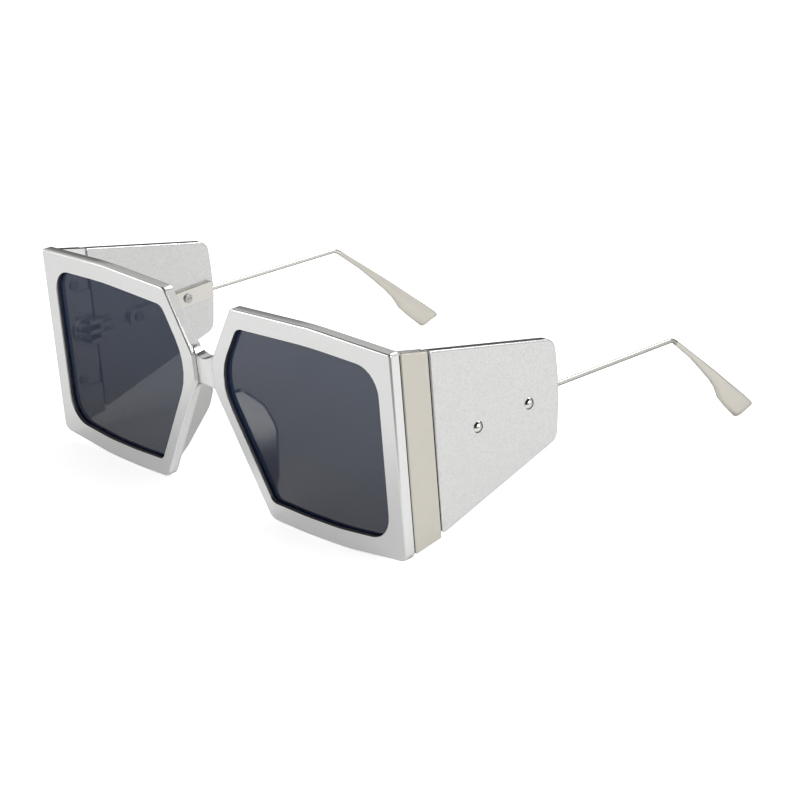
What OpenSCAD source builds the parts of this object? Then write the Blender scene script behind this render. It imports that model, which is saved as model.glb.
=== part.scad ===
// Square sunglasses with wide side panels, strip-trimmed ends and thin wire arms.
// Millimetres, +Z up. The wearer's left is +X and the front looks towards -Y.
// The rims' feet and the ear tips stand on Z = 0.

/* [Front moulding] */
// Width across the two outer edges of the front
front_w = 148; // [136:1:160]
// Height of the outer top corners
front_h = 57; // [52:0.5:62]
// How far the brow rises above the outer top corners
brow_rise = 1.2; // [0.6:0.1:2]
// Place of the highest point of the brow, from the middle
brow_peak_x = 44; // [38:0.5:50]
// Thickness of the rims, front to back
rim_t = 3.2; // [2.8:0.1:4]
// Angle that each half of the front is swept back by
wrap_angle = 1.7; // [1:0.1:2.5]
// Angle that the top of the front leans forward by
lean_angle = 1.4; // [0.8:0.1:2]
// Width of the rim at its outer edge
rim_outer_w = 5.2; // [4.6:0.1:6]
// Width of the rim along the brow
rim_top_w = 5.2; // [4.4:0.1:6]
// Width of the rim along the foot
rim_foot_w = 5; // [4.4:0.1:5.6]
// Width of the rim beside the upper nose
rim_upper_nose_w = 4.3; // [3.8:0.1:4.8]
// Width of the rim beside the lower nose
rim_lower_nose_w = 3.5; // [3.2:0.1:4]
// Gap between the two inner top corners
brow_gap = 28.4; // [25:0.2:32]
// Gap between the two inner feet
foot_gap = 45.4; // [42:0.2:49]
// Place where the flat of each foot starts, from the middle
foot_flat_x = 37; // [34:0.5:40]
// Length of the flat of each foot
foot_flat_l = 13; // [10:0.5:16]
// How far the outer bottom corner lifts off the ground
foot_rise = 2.1; // [1.6:0.1:2.8]
// Rounding of the outer top corner
top_corner_r = 0.8; // [0.5:0.1:1.2]
// Rounding of the inner top corner
brow_corner_r = 2.4; // [1.8:0.1:3]
// Rounding of the inner bottom corner
inner_foot_r = 3.4; // [2.6:0.1:4]
// Rounding of the outer bottom corner
outer_foot_r = 2.6; // [2:0.1:3.2]
// Rounding of the front edges of the rims
edge_r = 0.6; // [0.4:0.05:0.8]
// Rounding of the back edges of the rims
back_edge_r = 0.35; // [0.2:0.05:0.5]

/* [Bridge] */
// Width of the bridge between the rims
bridge_w = 8.4; // [7:0.2:10]
// Height of the middle of the bridge
bridge_z = 37; // [35:0.25:39]
// Height of the bridge section at its middle
bridge_h = 7; // [6:0.2:8]
// Height of the corner where the bridge meets each rim
bridge_root_h = 8; // [7.6:0.2:9]
// Thickness of the bridge, front to back, at its middle
bridge_t = 4; // [3.6:0.1:4.6]
// How far the bridge steps back from the rims where it meets them
bridge_recess = 0.6; // [0.4:0.05:0.9]
// How far the middle of the bridge bulges forward from there
bridge_bulge = 0.7; // [0.4:0.05:1]

/* [Nose pads] */
// Length of each moulded pad along the rim
pad_l = 32.5; // [30:0.5:33]
// Distance from the bridge to the top of the pad, along the rim
pad_start = 2; // [1.4:0.1:3]
// How far each pad stands behind the rim
pad_depth = 8.2; // [6:0.2:9]
// Thickness of each pad
pad_t = 2.6; // [2.4:0.1:2.8]
// Rounding of the pad's edges
pad_edge_r = 1.1; // [0.8:0.05:1.2]
// Angle that each pad splays outward by
pad_splay = 14; // [8:1:16]

/* [Lenses] */
// Thickness of the lens
lens_t = 1.8; // [1.5:0.1:2]
// Middle of the lens and its groove, from the back of the rim
lens_seat = 1.3; // [1.2:0.05:1.4]
// Depth of the groove that holds the lens
groove_d = 0.6; // [0.4:0.05:0.7]
// Half of the height of the groove's mouth
groove_half_h = 0.55; // [0.45:0.05:0.6]
// Clearance between the lens and its seat
lens_fit = 0.08; // [0.05:0.01:0.12]
// Rounding of the lens opening at its outer corners
open_outer_r = 7.5; // [5:0.25:9]
// Rounding of the lens opening at its inner top corner
open_brow_r = 3.6; // [2.5:0.1:4.5]
// Rounding of the lens opening at its nose corner
open_nose_r = 15; // [10:0.5:17]
// Rounding of the lens opening at its inner bottom corner
open_foot_r = 2.8; // [2:0.1:3.5]
// Rounding of the front edge of the lens opening
open_edge_r = 0.7; // [0.4:0.05:0.8]

/* [End wings and trim strips] */
// Length of the end wing, from the front of the outer corner
wing_l = 12.4; // [11.5:0.1:13.5]
// Thickness of the end wing under the trim strip
wing_t = 2.05; // [1.95:0.05:2.3]
// Distance of the outer side faces from the edge of the front
side_inset = 0.15; // [0.1:0.05:0.2]
// Slope of the top edge of wing and panel, as a fall for each unit of length
top_slope_share = 0.196; // [0.16:0.002:0.22]
// Slope of the bottom edge of the wing, as a rise for each unit of length
wing_slope_share = 0.187; // [0.15:0.001:0.2]
// Lift of the wing's bottom edge over the outer bottom corner
wing_lift = 0.5; // [0.3:0.05:0.8]
// Thickness of the trim strip
strip_t = 0.9; // [0.7:0.05:1]
// Gap between the back of the rim and the trim strip
strip_gap = 0.3; // [0.2:0.05:0.4]
// Bevel around the trim strip
strip_bevel = 0.25; // [0.15:0.05:0.35]
// Diameter of the bosses on the back of the strip
boss_d = 2.6; // [2.4:0.1:2.8]
// Height of the upper strip screw
strip_screw_high = 44.6; // [43:0.2:46]
// Height of the lower strip screw
strip_screw_low = 16; // [15:0.2:17.5]
// Distance of the strip screws from the front of the corner
strip_screw_y = 7.2; // [6.8:0.1:7.6]
// Height of the pocket that each strip screw sits in
pocket_h = 4.4; // [4:0.1:5]
// Depth of that pocket
pocket_d = 0.7; // [0.6:0.05:0.75]

/* [Side panels] */
// Thickness of the side panels
panel_t = 3; // [2.8:0.1:3.3]
// Length of the side panels along the top edge
panel_l = 42.6; // [40:0.2:45]
// Gap between wing and panel
panel_gap = 0.4; // [0.3:0.05:0.5]
// Slope of the panel's bottom edge, as a rise for each unit of length
panel_slope_share = 0.311; // [0.28:0.001:0.33]
// Step of the panel's bottom edge over the wing's
panel_step = 0.6; // [0.3:0.05:1]
// Bow of the panel's back edge
panel_bow = 1.4; // [0.8:0.1:2]
// Rounding of the panel's upper back corner
panel_top_r = 3.6; // [2.5:0.1:4.5]
// Rounding of the panel's lower back corner
panel_foot_r = 3; // [2:0.1:4]
// Rounding of the panel's edges
panel_edge_r = 0.5; // [0.3:0.05:0.7]

/* [Hinges] */
// Height of the hinges
hinge_z = 30.6; // [29.6:0.1:31.6]
// Distance of the hinge axis inside the panels
hinge_inset = 1.9; // [1.8:0.05:2]
// Diameter of the knuckles
knuckle_d = 3.2; // [3:0.05:3.25]
// Number of knuckles, an odd number
knuckle_n = 5; // [3:2:5]
// Height of the row of knuckles
knuckles_h = 7; // [6.6:0.1:7.6]
// Gap between neighbouring knuckles
knuckle_gap = 0.1; // [0.08:0.01:0.15]
// Length of the knuckle arms
knuckle_arm = 4; // [3.6:0.1:4.4]
// Thickness of the hinge leaves
leaf_t = 0.8; // [0.7:0.05:0.9]
// Length of the leaf on the wing, from its round end to the axis
front_leaf_l = 7.7; // [7.4:0.1:8]
// Length of the leaf on the panel, from the axis
rear_leaf_l = 6.4; // [6:0.1:7]
// Height of the leaf on the panel
rear_leaf_h = 5; // [4.6:0.1:5.4]
// Rounding of that leaf's back corners
rear_leaf_r = 1; // [0.6:0.1:1.4]
// Diameter of the hinge screw
pin_d = 1.2; // [1.1:0.05:1.3]
// Diameter of the hinge screw's head
pin_head_d = 2.2; // [2:0.1:2.4]
// Height of the hinge screw's head
pin_head_h = 0.6; // [0.5:0.05:0.7]
// Running clearance round the hinge screw
pin_fit = 0.05; // [0.03:0.01:0.08]
// Spacing of the two screws in each leaf
leaf_screw_gap = 2.4; // [2.2:0.1:2.6]

/* [Arms] */
// Gap between the hinge and the round front end of the arm plate
plate_start_gap = 4.9; // [3.5:0.1:6]
// Height of the arm plate
plate_h = 4.8; // [4.4:0.1:5.2]
// Thickness of the arm plate
plate_t = 1.5; // [1.4:0.05:1.6]
// Angle that the arm plate rises by towards the back
plate_rise = 3.2; // [1:0.2:4]
// Gap between the back end of the plate and the panel's back edge
plate_end_gap = 1.4; // [1:0.1:2]
// Distance of the front rivet from the plate's round end
rivet_start = 3.2; // [2.4:0.1:3.6]
// Distance of the back rivet from the plate's back end
rivet_end = 9.5; // [9:0.1:10.5]
// Diameter of the wire of the arm
wire_d = 1.3; // [1.2:0.05:1.4]
// Diameter of the turned-down ends of the wire
tenon_d = 0.9; // [0.8:0.05:1]
// Length of the tenon in the plate
tenon_l = 5; // [4:0.2:6]
// Distance of the bend from the front of the corner
bend_y = 104; // [100:0.2:110]
// Radius of the bend
bend_r = 4; // [3:0.2:4.4]
// Angle that the arm turns down by
bend_angle = 39.5; // [36:0.5:42]
// Angle that the ear end leans inward by
toe_angle = 7.5; // [4:0.5:9]

/* [Ear tips] */
// Length of the ear tip along the bent-down wire
tip_l = 46.5; // [44:0.5:48]
// Distance from the bend to the thin end of the ear tip
tip_start = 1.8; // [1.8:0.1:3]
// Thickness of the thin end
tip_neck_d = 1.6; // [1.5:0.05:1.9]
// Width of the paddle
tip_paddle_w = 6.7; // [6:0.1:7.4]
// Thickness of the paddle
tip_paddle_t = 3; // [2.6:0.1:3.4]
// Length of the wire inside the ear tip
tip_core_l = 27; // [22:0.5:30]

/* [Rivets and screws] */
// Diameter of the domed heads on the panel
dome_d = 3.1; // [2.7:0.1:3.3]
// Height of the domed heads
dome_h = 0.9; // [0.7:0.05:1.1]
// Outer diameter of the rivet's sleeve
sleeve_d = 2; // [1.8:0.05:2.2]
// Diameter of the screws in the sleeves and bosses
screw_d = 1.2; // [1.1:0.05:1.25]
// Diameter of the screw heads
screw_head_d = 2.8; // [2.6:0.1:3]
// Height of the screw heads
screw_head_h = 0.6; // [0.5:0.05:0.65]
// Diameter of the small leaf screws
leaf_screw_d = 1; // [0.9:0.05:1.1]
// Diameter of the small leaf screws' heads
leaf_head_d = 1.8; // [1.7:0.05:1.9]
// Height of the small leaf screws' heads
leaf_head_h = 0.4; // [0.3:0.05:0.5]
// Depth of the leaf screws in the moulding
leaf_screw_l = 1.4; // [1.2:0.05:1.5]
// Width of the slots in the screw heads
slot_w = 0.35; // [0.3:0.05:0.4]
// Clearance round screws, bosses and sleeves
screw_fit = 0.05; // [0.03:0.01:0.08]

/* [Hidden] */
// Overrun of every cut
over = 0.5;
// Least rounding of an outline's corner
least_r = 0.05;
// Largest turn between two points of a rounded corner, in degrees
arc_step = 13;
// Facets of the round parts
$fn = 48;

// Where the halves of the front meet the side faces
wrap_depth = front_w / 2 * sin(wrap_angle);
side_x = front_w / 2 - side_inset;
inner_x = side_x - panel_t;
wing_x = inner_x + wing_t;
panel_y = wing_l + panel_gap;
hinge_x = inner_x - hinge_inset;
hinge_y = wing_l + panel_gap / 2;
brow_top = front_h + brow_rise;

// Signed turn and intersection of lines, and corners of an outline moved inward
function cross2(a, b) = a[0] * b[1] - a[1] * b[0];
function unit2(v) = v / norm(v);
function left_of(v) = [-v[1], v[0]];
function meet(p, d, q, e) = p + d * cross2(q - p, e) / cross2(d, e);
function side_dir(corners, i) =
    let (n = len(corners)) unit2(corners[(i + 1) % n] - corners[(i + n) % n]);
function moved_in(corners, widths) = [
    for (i = [0:len(corners) - 1])
        let (
            n = len(corners),
            before = (i + n - 1) % n,
            d = side_dir(corners, before),
            e = side_dir(corners, i)
        )
        meet(corners[i] + left_of(d) * widths[before], d, corners[i] + left_of(e) * widths[i], e)
];
function turn_at(corners, i) =
    let (n = len(corners), d = side_dir(corners, (i + n - 1) % n), e = side_dir(corners, i))
    atan2(cross2(d, e), d * e);
function corner_arc(corners, i, r, steps) =
    let (
        n = len(corners),
        d = side_dir(corners, (i + n - 1) % n),
        turn = turn_at(corners, i),
        hand = sign(turn),
        start = corners[i] - d * r * tan(abs(turn) / 2),
        centre = start + left_of(d) * r * hand,
        from = -left_of(d) * r * hand
    )
    [for (k = [0:steps])
        let (a = turn * k / steps)
        centre + [from[0] * cos(a) - from[1] * sin(a), from[0] * sin(a) + from[1] * cos(a)]];
// Outline with rounded corners, moved inward by inset
function rounded(corners, radii, inset) =
    let (moved = moved_in(corners, [for (c = corners) inset]))
    [for (i = [0:len(corners) - 1])
        let (
            turn = turn_at(corners, i),
            r = max(least_r, radii[i] - inset * sign(turn)),
            steps = max(2, ceil(abs(turn) / arc_step))
        )
        each corner_arc(moved, i, r, steps)];
// Rounded edge as steps of [height, inset], from the flat face down to the side
function edge_steps(r, count) = [for (k = [0:count]) [r * (1 - cos(90 * k / count)), r * (1 - sin(90 * k / count))]];
function edge_up(base, r, count) = [for (s = [for (k = [0:count]) edge_steps(r, count)[k]]) [base + s[0], s[1]]];
function edge_down(top, r, count) = [for (k = [count:-1:0]) [top - edge_steps(r, count)[k][0], edge_steps(r, count)[k][1]]];

// Skin over rings of equal point counts, lowest ring first
module skin(rings) {
    n = len(rings[0]);
    last = len(rings) - 1;
    polyhedron(
        points = [for (ring = rings) each ring],
        faces = concat(
            [[for (i = [0:n - 1]) i]],
            [for (k = [0:last - 1], i = [0:n - 1])
                let (j = (i + 1) % n)
                [k * n + i, (k + 1) * n + i, (k + 1) * n + j, k * n + j]],
            [[for (i = [n - 1:-1:0]) last * n + i]]
        )
    );
}

// Slab with a rounded outline whose edges follow steps of [height, inset]
module slab(corners, radii, steps) {
    skin([for (s = steps) [for (p = rounded(corners, radii, s[1])) [p[0], p[1], s[0]]]]);
}

// Turns a slab drawn in X and Z to stand with its top towards the front
module upright() {
    rotate([90, 0, 0]) children();
}

// Turns a slab drawn in Y and Z to stand with its top towards +X
module sideways() {
    rotate([90, 0, 90]) children();
}

// How far back the leaning front stands at a height
function lean(z) = (front_h / 2 - z) * tan(lean_angle);

// Leans the front about the middle of its height
module leaning() {
    translate([0, 0, front_h / 2]) rotate([lean_angle, 0, 0]) translate([0, 0, -front_h / 2]) children();
}

// Places what belongs to one half of the front, swept back by the wrap angle
module swept_half() {
    leaning() translate([0, -wrap_depth, 0]) rotate([0, 0, wrap_angle]) children();
}

// Outline of one half of the front: brow, nose side and foot, corner by corner
brow_outer = [front_w / 2, front_h];
brow_peak = [brow_peak_x, brow_top];
brow_inner = [brow_gap / 2, front_h + brow_rise / 3];
root_high = [bridge_w / 2, bridge_z + bridge_root_h / 2];
root_low = [bridge_w / 2, bridge_z - bridge_root_h / 2];
foot_inner = [foot_gap / 2, rim_foot_w / 8];
flat_start = [foot_flat_x, 0];
flat_end = [foot_flat_x + foot_flat_l, 0];
foot_outer = [front_w / 2, foot_rise];
long_r = front_w;
half_corners = [brow_outer, brow_peak, brow_inner, root_high, root_low, foot_inner, flat_start, flat_end, foot_outer];
half_radii = [
    top_corner_r, long_r, brow_corner_r, brow_corner_r, brow_corner_r,
    inner_foot_r, long_r / 2, long_r / 2, outer_foot_r
];

// Outline of the lens opening, each side moved in by its own rim width
upper_nose_dir = unit2(root_high - brow_inner);
lower_nose_dir = unit2(foot_inner - root_low);
nose_point = meet(brow_inner, upper_nose_dir, root_low, lower_nose_dir);
open_base = [brow_outer, brow_peak, brow_inner, nose_point, foot_inner, flat_start, flat_end, foot_outer];
open_widths = [
    rim_top_w, rim_top_w, rim_upper_nose_w, rim_lower_nose_w,
    rim_foot_w, rim_foot_w, rim_foot_w, rim_outer_w
];
open_corners = moved_in(open_base, open_widths);
open_radii = [open_outer_r, long_r, open_brow_r, open_nose_r, open_foot_r, long_r / 2, long_r / 2, open_outer_r];

// Edge steps of rim, lens opening and lens, measured from the back of the rim
rim_steps = concat(edge_up(0, back_edge_r, 2), edge_down(rim_t, edge_r, 4));
open_steps = concat(
    [[-over / 4, -back_edge_r - over / 4], [0, -back_edge_r], [back_edge_r, 0]],
    [[lens_seat - groove_half_h - lens_fit, 0], [lens_seat, -groove_d], [lens_seat + groove_half_h + lens_fit, 0]],
    [for (k = [3:-1:0]) let (s = edge_steps(open_edge_r, 3)[k]) [rim_t - s[0], s[1] - open_edge_r]],
    [[rim_t + over, -open_edge_r]]
);
lens_steps = [
    [lens_seat - lens_t / 2, lens_fit],
    [lens_seat - groove_half_h, lens_fit],
    [lens_seat, lens_fit - groove_d],
    [lens_seat + groove_half_h, lens_fit],
    [lens_seat + lens_t / 2, lens_fit]
];

module rim_half() {
    difference() {
        union() {
            swept_half() translate([0, rim_t, 0]) upright() slab(half_corners, half_radii, rim_steps);
            nose_pad();
        }
        swept_half() translate([0, rim_t, 0]) upright() slab(open_corners, open_radii, open_steps);
    }
}

// Bridge: a bulged block, hollowed above and below by round saddles tangent to the rims
saddle_top_r = saddle_radius(root_high, -upper_nose_dir, bridge_z + bridge_h / 2, 1);
saddle_foot_r = saddle_radius(root_low, lower_nose_dir, bridge_z - bridge_h / 2, -1);
function saddle_radius(corner, dir, level, side) =
    let (reach = side > 0 ? [-dir[1], dir[0]] : [dir[1], -dir[0]])
    reach * ([0, level] - corner) / (1 - reach[1] * side);
bridge_half_w = bridge_w / 2 + rim_lower_nose_w / 2;
bridge_front = bridge_recess - bridge_bulge - wrap_depth;
bulge_r = (pow(bridge_w / 2, 2) + pow(bridge_bulge, 2)) / (2 * bridge_bulge);

module bridge() {
    leaning() intersection() {
        upright() translate([0, 0, -bridge_t * 2]) linear_extrude(bridge_t * 4) difference() {
            translate([-bridge_half_w, bridge_z - bridge_root_h]) square([bridge_half_w * 2, bridge_root_h * 2]);
            translate([0, bridge_z + bridge_h / 2 + saddle_top_r]) circle(saddle_top_r, $fn = 96);
            translate([0, bridge_z - bridge_h / 2 - saddle_foot_r]) circle(saddle_foot_r, $fn = 96);
        }
        translate([0, 0, bridge_z - bridge_root_h]) linear_extrude(bridge_root_h * 2) intersection() {
            translate([-bridge_half_w, bridge_front]) square([bridge_half_w * 2, bridge_t]);
            translate([0, bridge_front + bulge_r]) circle(bulge_r, $fn = 128);
        }
    }
}

// Moulded nose pad: a fin along the lower nose side of the rim, splayed outward
pad_shares = [[0, -0.25], [1, -0.25], [0.81, 0.34], [0.43, 1], [0.21, 0.9], [0.02, 0.4]];
pad_radii_shares = [0.015, 0.015, 0.2, 0.2, 0.14, 0.06];
pad_corners = [for (s = pad_shares) [s[0] * pad_l, s[1] * pad_depth]];
pad_radii = [for (s = pad_radii_shares) s * pad_l];
pad_steps = concat(edge_up(-pad_t / 2, pad_edge_r, 3), edge_down(pad_t / 2, pad_edge_r, 3));

module nose_pad() {
    along = [lower_nose_dir[0], 0, lower_nose_dir[1]];
    outward = [-lower_nose_dir[1], 0, lower_nose_dir[0]];
    back = [0, cos(pad_splay), 0] + outward * sin(pad_splay);
    thick = outward * cos(pad_splay) - [0, sin(pad_splay), 0];
    start = [root_low[0], rim_t, root_low[1]] + along * pad_start + outward * rim_lower_nose_w / 2;
    swept_half() multmatrix([
        [along[0], back[0], thick[0], start[0]],
        [along[1], back[1], thick[1], start[1]],
        [along[2], back[2], thick[2], start[2]],
        [0, 0, 0, 1]
    ]) slab(pad_corners, pad_radii, pad_steps);
}

// End wing: the flat wall behind the outer edge that carries strip and hinge
function top_line(y) = front_h - top_slope_share * y;
function wing_line(y) = foot_rise + wing_lift + wing_slope_share * y;
function leaned(y, z) = [y + lean(z), z];
wing_start = rim_t / 2;

module wing() {
    translate([inner_x, 0, 0]) sideways() linear_extrude(wing_t) polygon([
        [wing_start, wing_line(wing_start)],
        leaned(wing_l, wing_line(wing_l)),
        leaned(wing_l, top_line(wing_l)),
        [wing_start, top_line(wing_start)]
    ]);
}

// Pocket and hole of one strip screw, cut into the wing from inside
module strip_screw_cut(z) {
    translate([inner_x - over, strip_screw_y, z]) rotate([0, 90, 0]) {
        cylinder(d = pocket_h, h = over + pocket_d);
        cylinder(d = boss_d + 2 * screw_fit, h = over + wing_t + over);
    }
    translate([inner_x - over, strip_screw_y, z - pocket_h / 2])
        cube([over + pocket_d, wing_l - strip_screw_y + over, pocket_h]);
}

// Holes of the two screws of a hinge leaf, cut into wing or panel from inside
front_leaf_screw_y = hinge_y - front_leaf_l + leaf_head_d;
rear_leaf_screw_y = hinge_y + rear_leaf_l - leaf_head_d / 2 - rear_leaf_r / 2;

module leaf_screw_places(y) {
    for (side = [-1, 1]) translate([inner_x, y, hinge_z + side * leaf_screw_gap / 2]) rotate([0, 90, 0]) children();
}

module leaf_screw_cuts(y, base) {
    leaf_screw_places(y) translate([0, 0, base]) cylinder(d = leaf_screw_d + 2 * screw_fit, h = leaf_screw_l - base + screw_fit);
}

module front_half() {
    rim_half();
    difference() {
        wing();
        strip_screw_cut(strip_screw_high);
        strip_screw_cut(strip_screw_low);
        leaf_screw_cuts(front_leaf_screw_y, -over);
    }
}

module both_sides() {
    children();
    mirror([1, 0, 0]) children();
}

module front_frame() {
    color([0.80, 0.81, 0.81]) centred() union() {
        both_sides() front_half();
        bridge();
    }
}

module lens() {
    color([0.33, 0.36, 0.42, 0.75])
        swept_half() translate([0, rim_t, 0]) upright() slab(open_corners, open_radii, lens_steps);
}

// Trim strip with its two tapped bosses
strip_y = rim_t + strip_gap;
strip_corners = [
    leaned(wing_l, top_line(wing_l)), leaned(strip_y, top_line(strip_y)),
    leaned(strip_y, wing_line(strip_y)), leaned(wing_l, wing_line(wing_l))
];
strip_radii = [for (c = strip_corners) strip_bevel * 2];
strip_steps = [[0, 0], [strip_t - strip_bevel, 0], [strip_t, strip_bevel]];
// The bosses end level with the pockets' floors, where the screw heads sit
seat_x = inner_x + pocket_d;
boss_l = side_x - strip_t - seat_x;

module trim_strip() {
    color([0.80, 0.78, 0.73]) difference() {
        union() {
            translate([side_x - strip_t, 0, 0]) sideways() slab(strip_corners, strip_radii, strip_steps);
            for (z = [strip_screw_low, strip_screw_high])
                translate([side_x - strip_t - boss_l, strip_screw_y, z]) rotate([0, 90, 0])
                    cylinder(d = boss_d, h = boss_l + strip_t / 2);
        }
        for (z = [strip_screw_low, strip_screw_high])
            translate([side_x - strip_t - boss_l - over, strip_screw_y, z]) rotate([0, 90, 0])
                cylinder(d = screw_d + 2 * screw_fit, h = over + boss_l + screw_fit);
    }
}

// Slotted screw: its head's top on the origin, its shank towards +Z
module slotted_screw(head_d, head_h, d, l) {
    difference() {
        union() {
            cylinder(d1 = head_d - slot_w, d2 = head_d, h = slot_w / 2);
            translate([0, 0, slot_w / 2]) cylinder(d = head_d, h = head_h - slot_w / 2);
            translate([0, 0, head_h / 2]) cylinder(d = d, h = head_h / 2 + l);
        }
        translate([-slot_w / 2, -head_d, -over]) cube([slot_w, head_d * 2, over + head_h / 2]);
    }
}

module strip_screws() {
    color([0.60, 0.60, 0.60]) for (z = [strip_screw_low, strip_screw_high])
        translate([seat_x - screw_head_h, strip_screw_y, z]) rotate([0, 90, 0])
            slotted_screw(screw_head_d, screw_head_h, screw_d, boss_l);
}

// Hinge: knuckles share one height, front leaf takes the odd ones and rear leaf the even ones
knuckle_pitch = knuckles_h / knuckle_n;
leaf_reach = knuckle_d / 2 + knuckle_gap * 2;
leaf_round_y = hinge_y - front_leaf_l + knuckles_h / 2;

module knuckles(first, side) {
    for (k = [first:2:knuckle_n - 1])
        translate([hinge_x, hinge_y, hinge_z - knuckles_h / 2 + k * knuckle_pitch + knuckle_gap / 2])
            linear_extrude(knuckle_pitch - knuckle_gap) {
                circle(d = knuckle_d);
                translate([-knuckle_d / 2, side > 0 ? 0 : -knuckle_arm]) square([knuckle_d, knuckle_arm]);
            }
}

module pin_bore(clearance) {
    translate([hinge_x, hinge_y, hinge_z - knuckles_h / 2 - over])
        cylinder(d = pin_d + 2 * clearance, h = knuckles_h + 2 * over);
}

module hinge_front_leaf() {
    color([0.72, 0.72, 0.70]) difference() {
        union() {
            knuckles(0, -1);
            translate([inner_x - leaf_t, 0, 0]) sideways() linear_extrude(leaf_t) intersection() {
                union() {
                    translate([leaf_round_y, hinge_z]) circle(d = knuckles_h);
                    translate([leaf_round_y, hinge_z - knuckles_h / 2]) square([front_leaf_l, knuckles_h]);
                }
                translate([hinge_y - leaf_reach - 2 * front_leaf_l, hinge_z - knuckles_h])
                    square([2 * front_leaf_l, 2 * knuckles_h]);
            }
        }
        pin_bore(screw_fit);
        translate([hinge_x, hinge_y, hinge_z + knuckles_h / 2 - pin_head_h])
            cylinder(d = pin_head_d + 2 * screw_fit, h = pin_head_h + over);
        leaf_screw_cuts(front_leaf_screw_y, -leaf_t - over);
    }
}

module hinge_rear_leaf() {
    back = hinge_y + rear_leaf_l - rear_leaf_r;
    color([0.72, 0.72, 0.70]) difference() {
        union() {
            knuckles(1, 1);
            translate([inner_x - leaf_t, 0, 0]) sideways() linear_extrude(leaf_t) {
                translate([hinge_y + leaf_reach, hinge_z - rear_leaf_h / 2])
                    square([rear_leaf_l - leaf_reach - rear_leaf_r, rear_leaf_h]);
                translate([hinge_y + leaf_reach, hinge_z - rear_leaf_h / 2 + rear_leaf_r])
                    square([rear_leaf_l - leaf_reach, rear_leaf_h - 2 * rear_leaf_r]);
                for (side = [-1, 1]) translate([back, hinge_z + side * (rear_leaf_h / 2 - rear_leaf_r)])
                    circle(rear_leaf_r);
            }
        }
        pin_bore(pin_fit);
        leaf_screw_cuts(rear_leaf_screw_y, -leaf_t - over);
    }
}

module hinge_screw() {
    color([0.60, 0.60, 0.60])
        translate([hinge_x, hinge_y, hinge_z + knuckles_h / 2]) rotate([180, 0, 0])
            slotted_screw(pin_head_d, pin_head_h, pin_d, knuckles_h - pin_head_h);
}

module leaf_screws(y) {
    color([0.60, 0.60, 0.60]) leaf_screw_places(y) translate([0, 0, -leaf_t - leaf_head_h - screw_fit / 2])
        slotted_screw(leaf_head_d, leaf_head_h, leaf_screw_d, leaf_t + leaf_screw_l);
}

// Side panel: tapered plate with a bowed back edge
panel_back = panel_y + panel_l;
function panel_line(y) = wing_line(wing_l) + panel_step + panel_slope_share * (y - wing_l);
panel_mid_z = (top_line(panel_back) + panel_line(panel_back)) / 2;
panel_corners = [
    [panel_back, top_line(panel_back)],
    leaned(panel_y, top_line(panel_y)),
    leaned(panel_y, panel_line(panel_y)),
    [panel_back - panel_bow / 3, panel_line(panel_back)],
    [panel_back + panel_bow * 0.8, panel_mid_z]
];
panel_radii = [panel_top_r, panel_edge_r, panel_edge_r * 2, panel_foot_r, panel_l * 1.4];
panel_steps = concat(edge_up(0, panel_edge_r, 2), edge_down(panel_t, panel_edge_r, 2));

module side_panel() {
    color([0.83, 0.83, 0.82]) difference() {
        translate([inner_x, 0, 0]) sideways() slab(panel_corners, panel_radii, panel_steps);
        rivet_places() translate([0, 0, -over]) cylinder(d = sleeve_d + 2 * screw_fit, h = panel_t + 2 * over);
        leaf_screw_cuts(rear_leaf_screw_y, -over);
    }
}

// Ear tip: stations of [upper place, upper rise, lower place, lower drop, half thickness] as shares of
// its length, its paddle's width and its paddle's thickness
tip_stations_shares = [
    [0, 0, 0, 0, 0.27], [0.21, 0, 0.21, 0, 0.28], [0.35, 0.02, 0.36, 0.1, 0.34],
    [0.47, 0.03, 0.488, 0.2, 0.4], [0.56, 0.03, 0.571, 0.31, 0.46], [0.63, 0.03, 0.625, 0.457, 0.49],
    [0.69, 0.03, 0.662, 0.572, 0.5], [0.8, 0.035, 0.76, 0.665, 0.5], [0.9, 0.03, 0.84, 0.705, 0.49],
    [0.955, 0.02, 0.88, 0.72, 0.45], [0.982, 0, 0.9, 0.71, 0.37], [0.996, -0.04, 0.91, 0.68, 0.24],
    [1, -0.09, 0.917, 0.64, 0.1]
];
tip_neck_r = tip_neck_d / 2;
tip_sides = 16;
// Exponent of the section: above 1 its flanks are flatter than an ellipse's
section_power_share = 0.8;
function squared(v) = sign(v) * pow(abs(v), section_power_share);
// Point of a station, as [thickness, along, rise] from the bend's corner
function tip_point(station, a) =
    let (
        upper = [tip_start + station[0] * tip_l, tip_neck_r + station[1] * tip_paddle_w],
        lower = [tip_start + station[2] * tip_l, -tip_neck_r - station[3] * tip_paddle_w],
        middle = (upper + lower) / 2,
        half = (upper - lower) / 2
    )
    let (p = middle + half * squared(sin(a)))
    [station[4] * tip_paddle_t * squared(cos(a)), p[0], p[1]];
// The same point turned down by the bend and leaned inward, from the bend's corner
function turned(p) =
    let (y = p[1] * cos(bend_angle) + p[2] * sin(bend_angle), z = -p[1] * sin(bend_angle) + p[2] * cos(bend_angle))
    [p[0] * cos(toe_angle) + z * sin(toe_angle), y, -p[0] * sin(toe_angle) + z * cos(toe_angle)];
tip_rings = [for (s = tip_stations_shares) [for (k = [0:tip_sides - 1]) tip_point(s, 360 * k / tip_sides)]];
tip_places = [for (ring = tip_rings, p = ring) turned(p)];

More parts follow.
